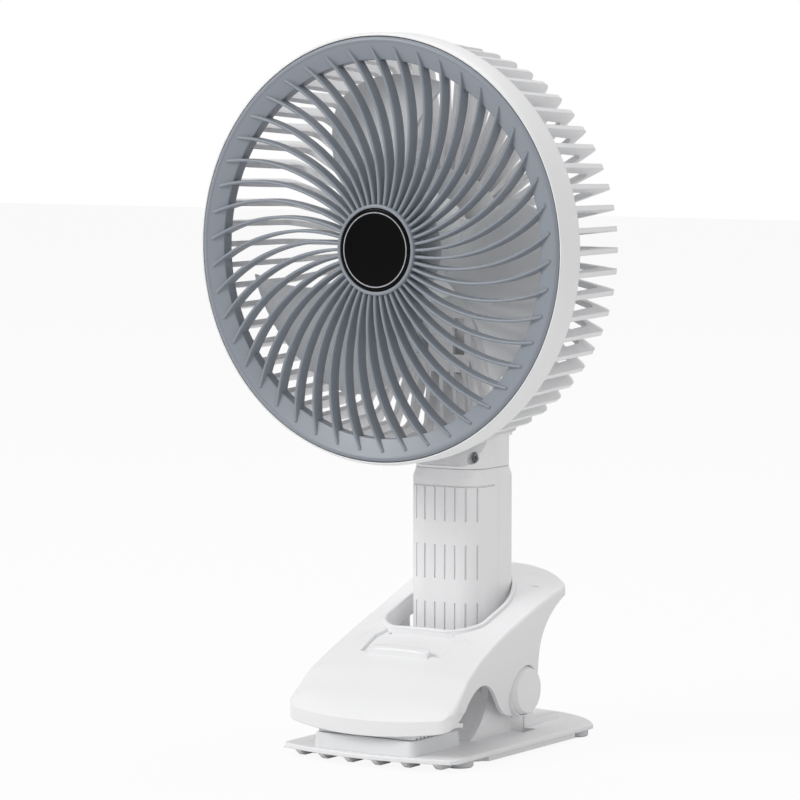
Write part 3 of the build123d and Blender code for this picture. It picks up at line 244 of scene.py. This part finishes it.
NODE_MATERIAL = {
    "badge_ring": FOIL, "grille_badge": BLACK_ACRYLIC, "front_grille": GREY_ABS,
    "fan_rotor": BLADE_PP, "rotor_nut": BLADE_PP,
    "motor_can": SHEET_STEEL, "motor_end_plate": SHEET_STEEL, "motor_bushes": BRASS,
    "motor_shaft": STEEL, "motor_screws": STEEL, "tilt_screw": STEEL, "neck_screws": STEEL,
    "handle_screws": STEEL, "foot_screws": STEEL, "hinge_pin": STEEL, "charging_inlet": STEEL,
    "clip_spring": SPRING_STEEL, "swivel_clip": SPRING_STEEL,
    "tilt_washers": DARK_PA, "swivel_spigot": DARK_PA, "battery_cradle": DARK_PA,
    "push_switch": DARK_PA, "battery_cell": CELL_SLEEVE, "battery_leads": LEAD_COVER,
    "circuit_board": SOLDER_MASK, "indicator_lens": LENS,
    "rubber_feet": WHITE_RUBBER, "jaw_pad": PALE_RUBBER, "base_pad": PALE_RUBBER,
}


def finish_with(piece, material):
    """One material over the whole piece."""
    piece.data.materials.clear()
    piece.data.materials.append(material)


for name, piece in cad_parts.items():
    finish_with(piece, NODE_MATERIAL.get(name, WHITE_ABS))


# Mesh helpers


def new_piece(name, mesh, body, material, *nodes):
    """Links a finished mesh, gives it its finish and lets it ride on its body."""
    piece = bpy.data.objects.new(name, mesh)
    bpy.context.scene.collection.objects.link(piece)
    finish_with(piece, material)
    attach(piece, body)
    if nodes:
        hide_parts(*nodes)
    return piece


def smooth(mesh, angle=35.0):
    """Smooth shading that keeps edges sharper than the angle."""
    shaped = bmesh.new()
    shaped.from_mesh(mesh)
    limit = math.radians(angle)
    for face in shaped.faces:
        face.smooth = True
    for edge in shaped.edges:
        edge.smooth = len(edge.link_faces) == 2 and edge.calc_face_angle(0.0) < limit
    shaped.to_mesh(mesh)
    shaped.free()


def merged(node, cuts_x=(), cuts_y=()):
    """Copy of a CAD piece's mesh with joined points, cut at the given places in mm."""
    shaped = bmesh.new()
    shaped.from_mesh(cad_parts[node].data)
    bmesh.ops.remove_doubles(shaped, verts=shaped.verts, dist=mm(0.004))
    cuts = [((mm(x), 0, 0), (1, 0, 0)) for x in cuts_x]
    cuts += [((0, mm(y), 0), (0, 1, 0)) for y in cuts_y]
    for place, normal in cuts:
        everything = list(shaped.verts) + list(shaped.edges) + list(shaped.faces)
        bmesh.ops.bisect_plane(shaped, geom=everything, dist=mm(0.002), plane_co=place, plane_no=normal)
    return shaped


def reskinned(node, body, material, angle, reshape=None, cuts_x=(), cuts_y=()):
    """Smooth-shaded copy that replaces a CAD piece; reshape moves its points, in mm."""
    shaped = merged(node, cuts_x, cuts_y)
    if reshape:
        for vert in shaped.verts:
            vert.co = Vector(reshape(*(vert.co * 1000))) / 1000
    mesh = bpy.data.meshes.new(node + "_shell")
    shaped.to_mesh(mesh)
    shaped.free()
    piece = new_piece(node + "_shell", mesh, body, material, node)
    smooth(piece.data, angle)
    return piece


def turned(name, outline, steps=240):
    """Closed ring turned about the fan axis from (radius, depth) points in mm."""
    shaped = bmesh.new()
    rings = []
    for radius, depth in outline:
        if radius < 0.001:
            rings.append([shaped.verts.new((0, mm(RIM_Y + depth), mm(HEAD_Z)))])
            continue
        ring = []
        for i in range(steps):
            angle = 2 * math.pi * i / steps
            ring.append(shaped.verts.new((
                mm(radius * math.cos(angle)),
                mm(RIM_Y + depth),
                mm(HEAD_Z + radius * math.sin(angle)),
            )))
        rings.append(ring)
    pairs = list(zip(rings, rings[1:]))
    if len(rings[0]) > 1 and len(rings[-1]) > 1:
        pairs.append((rings[-1], rings[0]))
    for one, two in pairs:
        for i in range(steps):
            k = (i + 1) % steps
            if len(one) == 1 and len(two) == 1:
                continue
            if len(one) == 1:
                shaped.faces.new((one[0], two[i], two[k]))
            elif len(two) == 1:
                shaped.faces.new((one[i], one[k], two[0]))
            else:
                shaped.faces.new((one[i], one[k], two[k], two[i]))
    bmesh.ops.recalc_face_normals(shaped, faces=shaped.faces)
    mesh = bpy.data.meshes.new(name)
    shaped.to_mesh(mesh)
    shaped.free()
    return mesh


def rounded(points, radius=0.5, steps=3):
    """Outline with each corner of more than a few degrees cut to a small arc."""
    out = []
    count = len(points)
    for i in range(count):
        before = Vector(points[i - 1])
        here = Vector(points[i])
        after = Vector(points[(i + 1) % count])
        way_in = before - here
        way_out = after - here
        reach = min(radius, way_in.length * 0.45, way_out.length * 0.45)
        start = here + way_in.normalized() * reach
        end = here + way_out.normalized() * reach
        for k in range(steps + 1):
            t = k / steps
            out.append(tuple((1 - t) ** 2 * start + 2 * t * (1 - t) * here + t * t * end))
    return out


# Front grille


def join(name, *meshes):
    """One mesh from several."""
    shaped = bmesh.new()
    for mesh in meshes:
        shaped.from_mesh(mesh)
    joined = bpy.data.meshes.new(name)
    shaped.to_mesh(joined)
    shaped.free()
    return joined


def new_tree(name, inputs):
    """Geometry node group with named inputs and one geometry output."""
    tree = bpy.data.node_groups.new(name, "GeometryNodeTree")
    for label, kind, value in inputs:
        socket = tree.interface.new_socket(label, in_out="INPUT", socket_type=kind)
        if value is not None:
            socket.default_value = value
    tree.interface.new_socket("Geometry", in_out="OUTPUT", socket_type="NodeSocketGeometry")
    return tree


def run_tree(name, tree, values, mesh=None):
    """Runs the tree on an object and gives back the result as a plain mesh."""
    carrier = bpy.data.objects.new(name, mesh or bpy.data.meshes.new(name + "_seed"))
    bpy.context.scene.collection.objects.link(carrier)
    modifier = carrier.modifiers.new("build", "NODES")
    modifier.node_group = tree
    for item in tree.interface.items_tree:
        if item.in_out == "INPUT" and item.name in values:
            modifier[item.identifier] = values[item.name]
    evaluated = carrier.evaluated_get(bpy.context.evaluated_depsgraph_get())
    result = bpy.data.meshes.new_from_object(evaluated)
    carrier.modifiers.clear()
    bpy.data.objects.remove(carrier)
    return result


def ring_tree(name):
    """Copies its mesh about the fan axis: count, first angle and finish are inputs."""
    tree = new_tree(name, [
        ("Geometry", "NodeSocketGeometry", None),
        ("Count", "NodeSocketInt", 12),
        ("First Angle", "NodeSocketFloat", 0.0),
        ("Depth", "NodeSocketFloat", 0.0),
        ("Height", "NodeSocketFloat", 0.0),
        ("Finish", "NodeSocketMaterial", None),
    ])
    given = add_node(tree, "NodeGroupInput")
    points = add_node(tree, "GeometryNodePoints", None, {"Count": given.outputs["Count"]})
    index = add_node(tree, "GeometryNodeInputIndex")
    step = add_node(tree, "ShaderNodeMath", {"operation": "DIVIDE"}, {
        0: 2 * math.pi, 1: given.outputs["Count"],
    })
    along = add_node(tree, "ShaderNodeMath", {"operation": "MULTIPLY_ADD"}, {
        0: index.outputs["Index"], 1: step.outputs["Value"], 2: given.outputs["First Angle"],
    })
    back = add_node(tree, "ShaderNodeMath", {"operation": "MULTIPLY"}, {
        0: along.outputs["Value"], 1: -1.0,
    })
    turn = add_node(tree, "ShaderNodeCombineXYZ", None, {"Y": back.outputs["Value"]})
    copies = add_node(tree, "GeometryNodeInstanceOnPoints", None, {
        "Points": points.outputs["Points"], "Instance": given.outputs["Geometry"],
        "Rotation": turn.outputs["Vector"],
    })
    place = add_node(tree, "ShaderNodeCombineXYZ", None, {
        "Y": given.outputs["Depth"], "Z": given.outputs["Height"],
    })
    moved = add_node(tree, "GeometryNodeTransform", None, {
        "Geometry": copies.outputs["Instances"], "Translation": place.outputs["Vector"],
    })
    real = add_node(tree, "GeometryNodeRealizeInstances", None, {
        "Geometry": moved.outputs["Geometry"],
    })
    coated = add_node(tree, "GeometryNodeSetMaterial", None, {
        "Geometry": real.outputs["Geometry"], "Material": given.outputs["Finish"],
    })
    add_node(tree, "NodeGroupOutput", None, {"Geometry": coated.outputs["Geometry"]})
    return tree


COPIES_ROUND_AXIS = ring_tree("copies round the fan axis")


def around(name, mesh, count, first, material):
    """The mesh, drawn about the origin, repeated round the fan axis."""
    return run_tree(name, COPIES_ROUND_AXIS, {
        "Count": count, "First Angle": math.radians(first),
        "Depth": mm(RIM_Y), "Height": mm(HEAD_Z), "Finish": material,
    }, mesh)


def rib_mesh(steps=36):
    """One swirl rib: a deep narrow strip whose front edge is rounded."""
    half = RIB_THICK / 2
    across = [
        (-half, RIB_BACK),
        (-half, RIB_FRONT + 0.55),
        (-half + 0.16, RIB_FRONT + 0.16),
        (-half + 0.45, RIB_FRONT),
        (half - 0.45, RIB_FRONT),
        (half - 0.16, RIB_FRONT + 0.16),
        (half, RIB_FRONT + 0.55),
        (half, RIB_BACK),
    ]
    shaped = bmesh.new()
    rings = []
    for i in range(steps + 1):
        angle = math.radians(-90 + RIB_ARC_TURN * i / steps)
        ring = []
        for side, depth in across:
            radius = RIB_ARC_R + side
            x = HUB_R - 1.0 + radius * math.cos(angle)
            z = RIB_ARC_R + radius * math.sin(angle)
            ring.append(shaped.verts.new((mm(x), mm(depth), mm(z))))
        rings.append(ring)
    for one, two in zip(rings, rings[1:]):
        for k in range(len(across)):
            n = (k + 1) % len(across)
            shaped.faces.new((one[k], one[n], two[n], two[k]))
    shaped.faces.new(rings[0])
    shaped.faces.new(list(reversed(rings[-1])))
    bmesh.ops.recalc_face_normals(shaped, faces=shaped.faces)
    mesh = bpy.data.meshes.new("rib")
    shaped.to_mesh(mesh)
    shaped.free()
    return mesh


rim = turned("grille_rim", rounded([
    (GRILLE_R, GRILLE_DEPTH), (GRILLE_R, 0.9), (LIP_R + 1.3, 0.0), (LIP_R + 0.5, 0.0),
    (LIP_R, 0.45), (ANNULUS_R, ANNULUS_SINK), (ANNULUS_R, GRILLE_DEPTH),
    (ANNULUS_R + 1.8, GRILLE_DEPTH), (ANNULUS_R + 1.8, ANNULUS_SINK + 1.8),
    (GRILLE_R - 1.8, 2.25), (GRILLE_R - 1.8, GRILLE_DEPTH),
], 0.35), 300)
cup = turned("grille_cup", rounded([
    (0.0, 1.2), (BADGE_R + 0.1, 1.2), (BADGE_R + 0.1, -0.2), (BADGE_R + 0.4, -0.5),
    (HUB_R - 0.4, -0.5), (HUB_R, -0.1), (HUB_R, 8.4), (HUB_R - 1.8, 8.4),
    (HUB_R - 1.8, 3.0), (0.0, 3.0),
][1:-1], 0.2) , 160)
ribs = around("grille_ribs", rib_mesh(), RIB_COUNT, RIB_FIRST_ANGLE, GREY_ABS)
grille = join("grille", rim, cup, ribs)
smooth(grille, 40)
new_piece("front_grille_moulding", grille, "head", GREY_ABS, "front_grille")


# Cage, rotor and neck


def slimmer_fin(x, y, z):
    """Moves the fins' inner outline out, so that each is a slim bar with a gap inside."""
    radius = math.hypot(x, z - HEAD_Z)
    depth = y - RIM_Y
    if not (60 < radius < 89 and 15.8 < depth < 56.5):
        return x, y, z
    grown = (radius + FIN_SLIM) / radius
    back = FIN_SLIM if depth > 40 else 0.0
    return x * grown, y + back, HEAD_Z + (z - HEAD_Z) * grown


reskinned("rear_cage", "head", WHITE_ABS, 34, slimmer_fin)
reskinned("fan_rotor", "rotor", BLADE_PP, 38)
reskinned("motor_cover", "head", WHITE_ABS, 30)
reskinned("neck_front", "neck", WHITE_ABS, 28)
reskinned("neck_rear", "neck", WHITE_ABS, 28)
reskinned("handle_front", "base", WHITE_ABS, 28)
reskinned("handle_rear", "base", WHITE_ABS, 28)
reskinned("power_button", "button", WHITE_ABS, 28)
reskinned("hinge_cap_left", "jaw", WHITE_ABS, 20)
reskinned("hinge_cap_right", "jaw", WHITE_ABS, 20)


# Clip jaw


def between(value, table):
    """Straight-line reading of a small table of (place, amount)."""
    if value <= table[0][0]:
        return table[0][1]
    for (low, one), (high, two) in zip(table, table[1:]):
        if value <= high:
            return one + (two - one) * (value - low) / (high - low)
    return table[-1][1]


def crease_z(depth):
    """Height of the solid jaw's side crease, by depth behind the rim."""
    return HEAD_Z - 199.4 + 0.564 * depth - 0.00142 * depth * depth


def nose_roll(x, y, z):
    """The jaw's skin: the nose rolls over to a level crease, the flanks stand a little fuller."""
    depth = y - RIM_Y
    over = min(1.0, max(0.0, (z - crease_z(depth) + 5.0) / 4.0))
    front_line = NOSE_FRONT + NOSE_BOW * (x / NOSE_HALF) ** 2
    front = max(0.0, 1.0 - max(0.0, depth - front_line) / NOSE_ROLL) ** 2
    side = max(0.0, 1.0 - max(0.0, SIDE_HALF - abs(x)) / NOSE_ROLL) ** 2
    drop = max(front * between(front_line, NOSE_DROP), side * between(depth, NOSE_DROP))
    rise = between(depth, FLANK_RISE)
    z = z + over * (rise - drop)
    lowest = HEAD_Z - NOSE_LOW + NOSE_RISE * (depth - NOSE_FRONT)
    if depth < -3.0:
        z = max(z, lowest)
    elif depth < 13.0 and z < HEAD_Z - 206 and abs(x) > 30:
        z += 1.6 * math.sin(math.pi * (depth + 3.0) / 16.0)
    return hole_squeeze(x, y, z)


def hole_squeeze(x, y, z):
    """Rounds the front of the opening and draws its rear in towards the handle."""
    depth = y - RIM_Y
    if abs(x) > 30.5 or not 34.5 < depth < SQUEEZE_END or z < crease_z(depth) - 10.0:
        return x, y, z
    if depth < SQUEEZE_START:
        ahead = max(0.0, 52.0 - depth) / 15.0
        return x * (1.0 - 0.17 * ahead * ahead), y, z
    t = min(1.0, (depth - SQUEEZE_START) / 20.0)
    narrow = 1.0 - 0.12 * t * t * (3 - 2 * t)
    return x * narrow, RIM_Y + SQUEEZE_START + (depth - SQUEEZE_START) * 0.92, z


def arc_through(start, middle, end, steps):
    """Points of the circle arc through three plan points."""
    a, b, c = Vector(start), Vector(middle), Vector(end)
    d = 2 * (a.x * (b.y - c.y) + b.x * (c.y - a.y) + c.x * (a.y - b.y))
    aa, bb, cc = a.length_squared, b.length_squared, c.length_squared
    centre = Vector((
        (aa * (b.y - c.y) + bb * (c.y - a.y) + cc * (a.y - b.y)) / d,
        (aa * (c.x - b.x) + bb * (a.x - c.x) + cc * (b.x - a.x)) / d,
    ))
    first = math.atan2(a.y - centre.y, a.x - centre.x)
    sweep = math.atan2(c.y - centre.y, c.x - centre.x) - first
    turn = (b - a).x * (c - b).y - (b - a).y * (c - b).x
    sweep = sweep % (2 * math.pi) if turn > 0 else -((-sweep) % (2 * math.pi))
    radius = (a - centre).length
    return [
        (centre.x + radius * math.cos(first + sweep * i / steps),
         centre.y + radius * math.sin(first + sweep * i / steps))
        for i in range(steps)
    ]


def hole_line(grow):
    """Plan outline of the jaw's opening, grown by a distance."""
    half = HOLE_HALF + grow
    front = HOLE_FRONT - grow
    rear = HOLE_REAR + grow
    corner = front + 13.0
    slant = math.cos(math.radians(45))
    side = half * slant
    back = HOLE_MID + (rear - HOLE_MID) * slant + 1.0
    sides = [corner + (HOLE_MID - corner) * i / 8 for i in range(8)]
    points = [(half, y) for y in sides]
    points += arc_through((half, HOLE_MID), (side, back), (0, rear), 24)
    points += arc_through((0, rear), (-side, back), (-half, HOLE_MID), 24)
    points += [(-half, HOLE_MID + corner - y) for y in sides]
    points += arc_through((-half, corner), (4.2 - half, front + 4.2), (14 - half, front + 0.6), 12)
    points += arc_through((14 - half, front + 0.6), (0, front), (half - 14, front + 0.6), 16)
    points += arc_through((half - 14, front + 0.6), (half - 4.2, front + 4.2), (half, corner), 12)
    return points


def tube_ring(name, path, radius, flat, sides=10):
    """Closed rounded bead along a path of points in mm, flatter in height by a factor."""
    shaped = bmesh.new()
    rings = []
    count = len(path)
    for i, here in enumerate(path):
        way = Vector(path[(i + 1) % count]) - Vector(path[i - 1])
        way.z = 0
        way.normalize()
        out = Vector((way.y, -way.x, 0))
        ring = []
        for k in range(sides):
            angle = 2 * math.pi * k / sides
            place = Vector(here) + out * radius * math.cos(angle)
            place.z += radius * flat * math.sin(angle)
            ring.append(shaped.verts.new(place / 1000))
        rings.append(ring)
    for i in range(count):
        one, two = rings[i], rings[(i + 1) % count]
        for k in range(sides):
            n = (k + 1) % sides
            shaped.faces.new((one[k], one[n], two[n], two[k]))
    bmesh.ops.recalc_face_normals(shaped, faces=shaped.faces)
    for face in shaped.faces:
        face.smooth = True
    mesh = bpy.data.meshes.new(name)
    shaped.to_mesh(mesh)
    shaped.free()
    return mesh


def skin_height(tree, x, y):
    """Height in mm of the jaw's skin above a plan point."""
    hit = tree.ray_cast(Vector((mm(x), mm(y), mm(150))), Vector((0, 0, -1)))[0]
    return hit.z * 1000


def lofted(name, rings):
    """Closed solid through rings of points in mm."""
    shaped = bmesh.new()
    made = [[shaped.verts.new(Vector(point) / 1000) for point in ring] for ring in rings]
    for one, two in zip(made, made[1:]):
        for k in range(len(one)):
            n = (k + 1) % len(one)
            shaped.faces.new((one[k], one[n], two[n], two[k]))
    shaped.faces.new(made[0])
    shaped.faces.new(list(reversed(made[-1])))
    bmesh.ops.recalc_face_normals(shaped, faces=shaped.faces)
    mesh = bpy.data.meshes.new(name)
    shaped.to_mesh(mesh)
    shaped.free()
    return mesh


def rest_lip(tree):
    """Upright lip at the foot of the phone rest, with rounded ends and top."""
    rings = []
    for i in range(-16, 17):
        share = abs(i) / 16
        x = STOP_HALF * i / 16
        tall = STOP_TALL * max(0.0, 1 - share ** 7) ** 0.4
        base = skin_height(tree, x, REST_FRONT - 4.0) + 0.9
        ring = []
        for k in range(13):
            angle = math.pi * k / 12
            y = REST_FRONT - 0.9 - 1.6 * math.copysign(abs(math.cos(angle)) ** 0.6, math.cos(angle))
            z = base + tall * math.sin(angle) ** 0.6
            ring.append((x, y, z))
        ring.append((x, REST_FRONT + 0.7, base - 2.4))
        ring.append((x, REST_FRONT - 2.5, base - 2.4))
        rings.append(ring)
    return lofted("rest_lip", rings)


jaw = reskinned("upper_jaw", "jaw", WHITE_ABS, 30, nose_roll, JAW_CUTS_X, JAW_CUTS_Y)
skin = BVHTree.FromPolygons([v.co for v in jaw.data.vertices], [p.vertices for p in jaw.data.polygons])
bead_path = []
for x, y in hole_line(0.8):
    x, y, _ = hole_squeeze(x, y, 200)
    bead_path.append((x, y, skin_height(skin, x * 1.02, y) + 0.1))
new_piece("jaw_opening_bead", tube_ring("bead", bead_path, BEAD_R, BEAD_FLAT), "jaw", WHITE_ABS)
lip = new_piece("jaw_rest_lip", rest_lip(skin), "jaw", WHITE_ABS)
smooth(lip.data, 50)


# Clip foot


def wider_skirt(x, y, z):
    """Brings the skirt under the plate almost flush with the plate's edge."""
    if 42.8 < abs(x) < 43.2 and z < 4.2:
        x = math.copysign(SKIRT_HALF_SEEN, x)
    return x, y, z


def grip_rib(x):
    """One curved rib under the front edge of the plate, as a closed solid."""
    start = PLATE_FRONT + 0.9 + PLATE_FRONT_BOW * (x / PLATE_HALF) ** 2
    under = PLATE_TOP - PLATE_THICK
    side = [(start, under + 0.4), (start + 0.15, under - 0.2)]
    for angle in range(15, 91, 15):
        share = math.sin(math.radians(angle))
        side.append((
            start + 0.15 + GRIP_RIB_NOSE * share,
            GRIP_RIB_LOW + (under - 0.95) * (1 - share) ** 1.3,
        ))
    side += [(start + GRIP_RIB_LONG, GRIP_RIB_LOW), (start + GRIP_RIB_LONG, under + 0.4)]
    across = [-1.3, -0.9, 0.9, 1.3]
    return lofted("grip_rib", [[(x + w, y, z) for y, z in side] for w in across])


def front_wall():
    """Thin curved wall between the ears, following their front edges."""
    front = POLE_Y - 18.0
    foot = RIM_Y + 39.0
    line = arc_through((foot, PLATE_TOP), (foot + 11.0, PLATE_TOP + 9.0), (front, HINGE_Z), 16)
    line += [(front, HINGE_Z), (front, 38.0)]
    back = [(y + EAR_WALL, z) for y, z in reversed(line)]
    closed = [(y, max(z, PLATE_TOP - 0.3)) for y, z in line + back]
    return lofted("front_wall", [[(x, y, z) for y, z in closed] for x in (-EAR_IN - 0.4, EAR_IN + 0.4)])


reskinned("base_plate", "base", WHITE_ABS, 30, wider_skirt)
ribs_under = join("grip_ribs", *[grip_rib((k - 2.5) * GRIP_RIB_PITCH) for k in range(6)])
new_piece("foot_grip_ribs", ribs_under, "base", WHITE_ABS)
wall = new_piece("foot_front_wall", front_wall(), "base", WHITE_ABS)
smooth(wall.data, 30)


def finish_scene():
    scene = bpy.context.scene
    scene.view_settings.view_transform = "Standard"

    camera = bpy.data.objects.new("camera", bpy.data.cameras.new("camera"))
    scene.collection.objects.link(camera)
    camera.data.sensor_width = 36.0
    camera.data.lens = 180.3
    camera.data.clip_end = 20.0
    camera.location = (0.98207, -1.54807, 0.30814)
    camera.rotation_euler = (math.radians(90 - 4.65), 0.0, math.radians(33.11))
    scene.camera = camera

    for name, place, size, power in (
        ("key softbox", (-1.5, -2.1, 2.0), 1.5, 50.0),
        ("side softbox", (2.3, -0.6, 1.2), 1.6, 9.0),
        ("top softbox", (0.0, 0.5, 2.7), 1.6, 22.0),
    ):
        lamp = bpy.data.objects.new(name, bpy.data.lights.new(name, "AREA"))
        scene.collection.objects.link(lamp)
        lamp.data.size = size
        lamp.data.energy = power
        lamp.location = place
        aim = Vector((0, 0, 0.16)) - Vector(place)
        lamp.rotation_euler = aim.to_track_quat("-Z", "Y").to_euler()

    world = bpy.data.worlds.new("studio")
    scene.world = world
    world.use_nodes = True
    tree = world.node_tree
    tree.nodes.clear()
    path = add_node(tree, "ShaderNodeLightPath")
    seen = add_node(tree, "ShaderNodeMath", {"operation": "MAXIMUM"}, {
        0: path.outputs["Is Camera Ray"], 1: path.outputs["Is Transmission Ray"],
    })
    dim = add_node(tree, "ShaderNodeBackground", None, {
        "Color": shade("#FFFFFF"), "Strength": 0.45,
    })
    white = add_node(tree, "ShaderNodeBackground", None, {
        "Color": shade("#FFFFFF"), "Strength": 1.0,
    })
    mixed = add_node(tree, "ShaderNodeMixShader", None, {
        0: seen.outputs["Value"], 1: dim.outputs["Background"], 2: white.outputs["Background"],
    })
    add_node(tree, "ShaderNodeOutputWorld", None, {"Surface": mixed.outputs["Shader"]})

    shaped = bmesh.new()
    bmesh.ops.create_grid(shaped, x_segments=1, y_segments=1, size=6.0)
    mesh = bpy.data.meshes.new("floor")
    shaped.to_mesh(mesh)
    shaped.free()
    floor = bpy.data.objects.new("floor", mesh)
    scene.collection.objects.link(floor)
    paper = bpy.data.materials.new("paper_white_backdrop")
    paper.use_nodes = True
    tree = paper.node_tree
    tree.nodes.clear()
    path = add_node(tree, "ShaderNodeLightPath")
    diffuse = add_node(tree, "ShaderNodeBsdfDiffuse", None, {"Color": shade("#E2E2E2")})
    glow = add_node(tree, "ShaderNodeEmission", None, {"Color": shade("#FFFFFF"), "Strength": 1.0})
    share = add_node(tree, "ShaderNodeMath", {"operation": "MULTIPLY"}, {
        0: path.outputs["Is Camera Ray"], 1: 0.92,
    })
    lifted = add_node(tree, "ShaderNodeMixShader", None, {
        0: share.outputs["Value"], 1: diffuse.outputs["BSDF"], 2: glow.outputs["Emission"],
    })
    add_node(tree, "ShaderNodeOutputMaterial", None, {"Surface": lifted.outputs["Shader"]})
    finish_with(floor, paper)


finish_scene()
